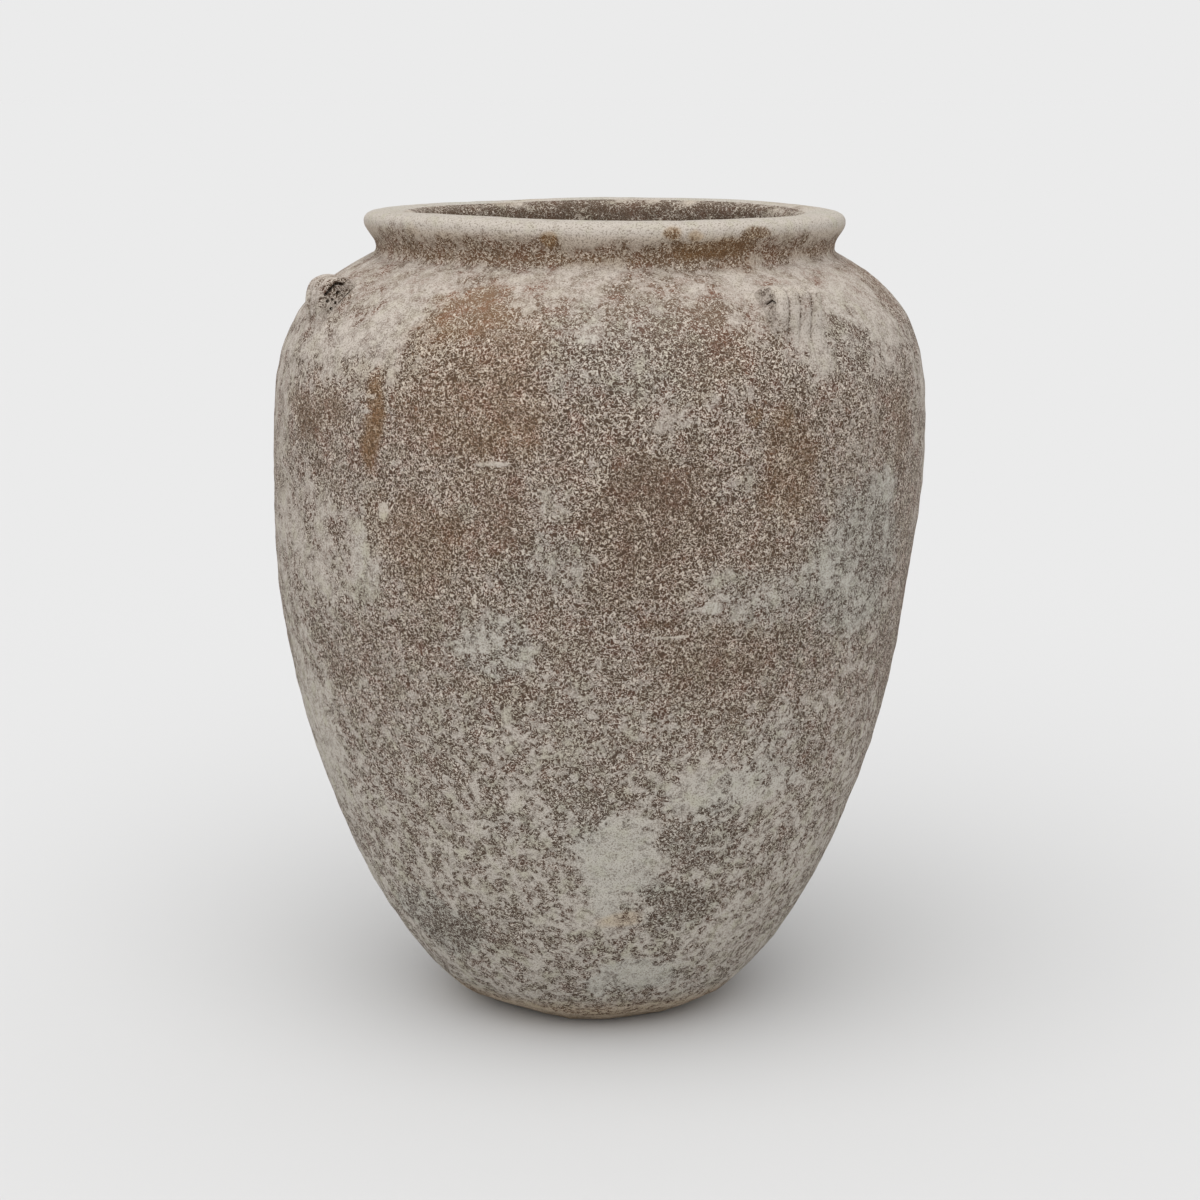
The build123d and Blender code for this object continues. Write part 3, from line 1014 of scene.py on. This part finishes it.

# %% [markdown]
# ## Finish
#
# The material is coarse terracotta, scraped and fired brown, under lime that water has left on it.
# Both are quite matte. Where the lime is thin it is a net of pale worms about 3 mm apart, with bare
# clay between them that is darkened with painted shadow. Where it is thick it buries the worms under a
# duller, even, gritty coat, and low on the jar it also gathers in blobs and veins. Ochre, grey and olive
# tint it.
#
# The crust could be painted on an image, but noise needs no unwrapping and shows no seams. The crests
# of a ridged noise are the worms, a coarser noise gathers them in clumps, and the shares on each point
# say how much lime there is. Where the sum passes the bare level, lime covers the clay. The wash on
# each point calms the worms, as on the lip. The lime also stands a little above the clay.
#
# The Mix node has a set of sockets for each kind of data. For colours, its two inputs are number 6
# and number 7, and its output is number 2.

# %% Crust of lime
NOISE = "ShaderNodeTexNoise"
SUM = "ShaderNodeMath"
SHARE = "ShaderNodeMapRange"
MIX = "ShaderNodeMix"
RIDGED = "RIDGED_MULTIFRACTAL"
WORM_SIZE = 2.7 * MM
BLOB_SIZE = 8 * MM
CLUMP_SIZE = 20 * MM
VEIN_SIZE = 14 * MM
WORM_WEIGHT = 1.9
BURIED_WEIGHT = 0.4
BLOB_WEIGHT = 0.12
CLUMP_WEIGHT = 0.30
VEIN_WEIGHT = 0.08
LIME_WEIGHT = 0.62
BARE = 0.5 * CLUMP_WEIGHT + 0.5 * LIME_WEIGHT
THICK = BARE + 0.14

# Blobs and veins grow from a weak share above the upper level to a strong one below the lower level
ROUGH_LEVELS = (500 * MM, 250 * MM)
ROUGH_SHARES = (0.7, 1.4)
CALMEST = 0.2


def lime_pattern(tree, place, shares):
    """Crust against the bare level, the fine worms in it, and how thick the lime lies."""
    crest = add_node(
        tree,
        NOISE,
        {"Vector": place, "Scale": 1 / WORM_SIZE, "Detail": 1.5, "Offset": 1.0, "Distortion": 0.8},
        noise_type=RIDGED,
    )["Fac"]
    ridge = add_node(
        tree,
        NOISE,
        {"Vector": place, "Scale": 1 / VEIN_SIZE, "Detail": 0.0, "Offset": 1.0, "Distortion": 0.4},
        noise_type=RIDGED,
    )["Fac"]
    spot = add_node(tree, NOISE, {"Vector": place, "Scale": 1 / BLOB_SIZE, "Detail": 1.0})["Fac"]
    clump = add_node(tree, NOISE, {"Vector": place, "Scale": 1 / CLUMP_SIZE, "Detail": 3.0})["Fac"]
    height = add_node(tree, "ShaderNodeSeparateXYZ", {"Vector": place})["Z"]

    spans = {
        "worm": (crest, 0.65, 1.65, -0.15, 0.42),
        "vein": (ridge, 0.70, 0.98, -0.4, 0.6),
        "blob": (spot, 0.48, 0.60, -0.4, 0.6),
        "rough": (height, *ROUGH_LEVELS, *ROUGH_SHARES),
        "calm": (shares["wash"], 0.0, 1.0, 1.0, CALMEST),
    }
    spread = {}
    for name, (value, low, high, least, most) in spans.items():
        limits = {"From Min": low, "From Max": high, "To Min": least, "To Max": most}
        spread[name] = add_node(tree, SHARE, {"Value": value, **limits})[0]

    bits = add_node(tree, SUM, {0: spread["vein"], 1: VEIN_WEIGHT}, operation="MULTIPLY")[0]
    bits = add_node(tree, SUM, {0: spread["blob"], 1: BLOB_WEIGHT, 2: bits}, operation="MULTIPLY_ADD")[0]
    crust = add_node(tree, SUM, {0: shares["lime"], 1: LIME_WEIGHT}, operation="MULTIPLY")[0]
    crust = add_node(tree, SUM, {0: clump, 1: CLUMP_WEIGHT, 2: crust}, operation="MULTIPLY_ADD")[0]
    crust = add_node(tree, SUM, {0: bits, 1: spread["rough"], 2: crust}, operation="MULTIPLY_ADD")[0]
    depth = {"Value": crust, "From Min": BARE, "From Max": THICK}
    thick = add_node(tree, SHARE, depth)[0]
    buried = add_node(tree, SHARE, {**depth, "To Min": WORM_WEIGHT, "To Max": BURIED_WEIGHT})[0]
    fine = add_node(tree, SUM, {0: spread["worm"], 1: spread["calm"]}, operation="MULTIPLY")[0]
    crust = add_node(tree, SUM, {0: fine, 1: buried, 2: crust}, operation="MULTIPLY_ADD")[0]
    return crust, fine, thick


print(f"the clay is bare where the crust is under {BARE:.2f}")

# %% Colours of clay and lime
CLOUD_SIZE = 60 * MM
TINT_SIZE = 17 * MM
DARK_CLAY = "6A5646"
LIGHT_CLAY = "796454"
RED_CLAY = "7B5646"
OCHRE_CLAY = "835F39"
GREY_CLAY = "6C625A"
SHADED_CLAY = "524234"
# Painted shadow: the clay between the worms is darkened as if the worms shaded it
PAINTED_WORM_SHADOW = "2E241C"
THIN_LIME = "D2C6B9"
THICK_LIME = "B8AEA4"
OLIVE_LIME = "ACA68F"
GREY_LIME = "B1B0A7"
RUSTY_LIME = "B09670"
LIME_GRIT = "73675B"


def tinted(tree, colour, tints):
    """A colour with one tint after the other mixed over it, each by its own share."""
    for share, tint in tints:
        colour = add_node(tree, MIX, {0: share, 6: colour, 7: to_linear(tint)}, data_type="RGBA")[2]
    return colour


def clay_and_lime(tree, place, shares, fine, thick, grit):
    """Colour of the bare clay, and colour of the lime on it."""
    cloud = add_node(tree, NOISE, {"Vector": place, "Scale": 1 / CLOUD_SIZE, "Detail": 3.0})["Fac"]
    tint = add_node(tree, NOISE, {"Vector": place, "Scale": 1 / TINT_SIZE, "Detail": 2.0})["Fac"]
    cloudy = add_node(tree, SHARE, {"Value": cloud, "From Min": 0.35, "From Max": 0.65})[0]
    red = add_node(tree, SHARE, {"Value": tint, "From Min": 0.50, "From Max": 0.66, "To Max": 0.8})[0]
    olive = add_node(tree, SHARE, {"Value": tint, "From Min": 0.50, "From Max": 0.34, "To Max": 0.7})[0]
    damp = add_node(tree, SHARE, {"Value": shares["grey"], "From Max": 0.5, "To Min": 0.2})[0]
    olive = add_node(tree, SUM, {0: olive, 1: damp}, operation="MULTIPLY")[0]
    stone = add_node(tree, SHARE, {"Value": shares["grey"], "To Max": 0.7})[0]
    rust = add_node(tree, SHARE, {"Value": shares["ochre"], "To Max": 0.6})[0]
    # Painted shadow between the worms, where the fine pattern sinks furthest below their crests
    worm_shadow = add_node(tree, SHARE, {"Value": fine, "From Min": -0.08, "From Max": -0.15, "To Max": 0.6})[0]
    speck = add_node(tree, SHARE, {"Value": grit, "From Min": 0.50, "From Max": 0.28, "To Max": 0.8})[0]

    clay_tints = (
        (cloudy, LIGHT_CLAY),
        (red, RED_CLAY),
        (shares["ochre"], OCHRE_CLAY),
        (stone, GREY_CLAY),
        (shares["dark"], SHADED_CLAY),
        (worm_shadow, PAINTED_WORM_SHADOW),
    )
    lime_tints = (
        (thick, THICK_LIME),
        (olive, OLIVE_LIME),
        (stone, GREY_LIME),
        (rust, RUSTY_LIME),
        (speck, LIME_GRIT),
    )
    clay = tinted(tree, to_linear(DARK_CLAY), clay_tints)
    return clay, tinted(tree, to_linear(THIN_LIME), lime_tints)


print("clay", DARK_CLAY, "to", LIGHT_CLAY, "and lime", THIN_LIME, "to", THICK_LIME)

# %% Crusted terracotta
CRUST_HEIGHT = 0.6 * MM
COVER_FROM = BARE - 0.05
COVER_FULL = BARE + 0.22
GRIT_RELIEF = 1.2
BUMP_STRENGTH = 0.8
CLAY_GLOSS = 0.25

# The real grit is under a millimetre, and is drawn this coarse so that it shows
GRIT_SIZE = 1.5 * MM


def crusted_clay(name, roughness):
    """Matte clay with a worn crust of lime, steered by the wear, the painted light and shade and the
    wash that each piece carries.
    """
    finish = bpy.data.materials.new(name)
    finish.use_nodes = True
    tree = finish.node_tree
    tree.nodes.clear()
    place = add_node(tree, "ShaderNodeTexCoord", {})["Object"]
    wear_light_and_shade = add_node(tree, "ShaderNodeAttribute", {}, attribute_name="wear_light_and_shade")
    wash = add_node(tree, "ShaderNodeAttribute", {}, attribute_name="wash")
    split = add_node(tree, "ShaderNodeSeparateColor", {"Color": wear_light_and_shade["Color"]})
    shares = {
        "lime": split["Red"],
        "ochre": split["Green"],
        "grey": split["Blue"],
        "dark": wear_light_and_shade["Alpha"],
        "wash": wash["Fac"],
    }

    crust, fine, thick = lime_pattern(tree, place, shares)
    grit = add_node(tree, NOISE, {"Vector": place, "Scale": 1 / GRIT_SIZE, "Detail": 1.0})["Fac"]
    clay, coat = clay_and_lime(tree, place, shares, fine, thick, grit)
    cover = add_node(tree, SHARE, {"Value": crust, "From Min": COVER_FROM, "From Max": COVER_FULL})[0]
    colour = add_node(tree, MIX, {0: cover, 6: clay, 7: coat}, data_type="RGBA")[2]
    relief = add_node(tree, SUM, {0: grit, 1: GRIT_RELIEF, 2: cover}, operation="MULTIPLY_ADD")[0]
    raised = {"Height": relief, "Strength": BUMP_STRENGTH, "Distance": CRUST_HEIGHT}
    bump = add_node(tree, "ShaderNodeBump", raised)
    surface = add_node(
        tree,
        "ShaderNodeBsdfPrincipled",
        {
            "Base Color": colour,
            "Roughness": roughness,
            "Specular IOR Level": CLAY_GLOSS,
            "Normal": bump["Normal"],
        },
    )
    add_node(tree, "ShaderNodeOutputMaterial", {"Surface": surface["BSDF"]})
    return finish


# Scraped, fired clay is dry and open, so the eye sees no gloss on it, and chalky lime has even less
coarse_terracotta = crusted_clay("coarse_terracotta_with_worn_lime", roughness=0.9)
limed_terracotta = crusted_clay("coarse_terracotta_under_lime", roughness=0.92)
print("finishes:", coarse_terracotta.name, "and", limed_terracotta.name)

# %% [markdown]
# ## Setting the pieces in place
#
# The jar is fired in one, so nothing on it moves and every piece rides on the same body. Each fine
# piece stands for one CAD node, which then stays hidden and is kept for its weight and collision.

# %% Objects that stand for the nodes
SEAM_CORNER = math.radians(50)
LIMED_PIECES = ("rim_lip", *LUGS)

for name, mesh in meshes.items():
    limed = name in LIMED_PIECES
    mesh.materials.clear()
    mesh.materials.append(limed_terracotta if limed else coarse_terracotta)
    mesh.shade_smooth()
    mesh.set_sharp_from_angle(angle=SEAM_CORNER)
    piece = bpy.data.objects.new(name + "_clay", mesh)
    scene.collection.objects.link(piece)
    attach(piece, "root")
    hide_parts(name)
print("placed", len(meshes), "pieces")

# %% Size of the finished jar
import json
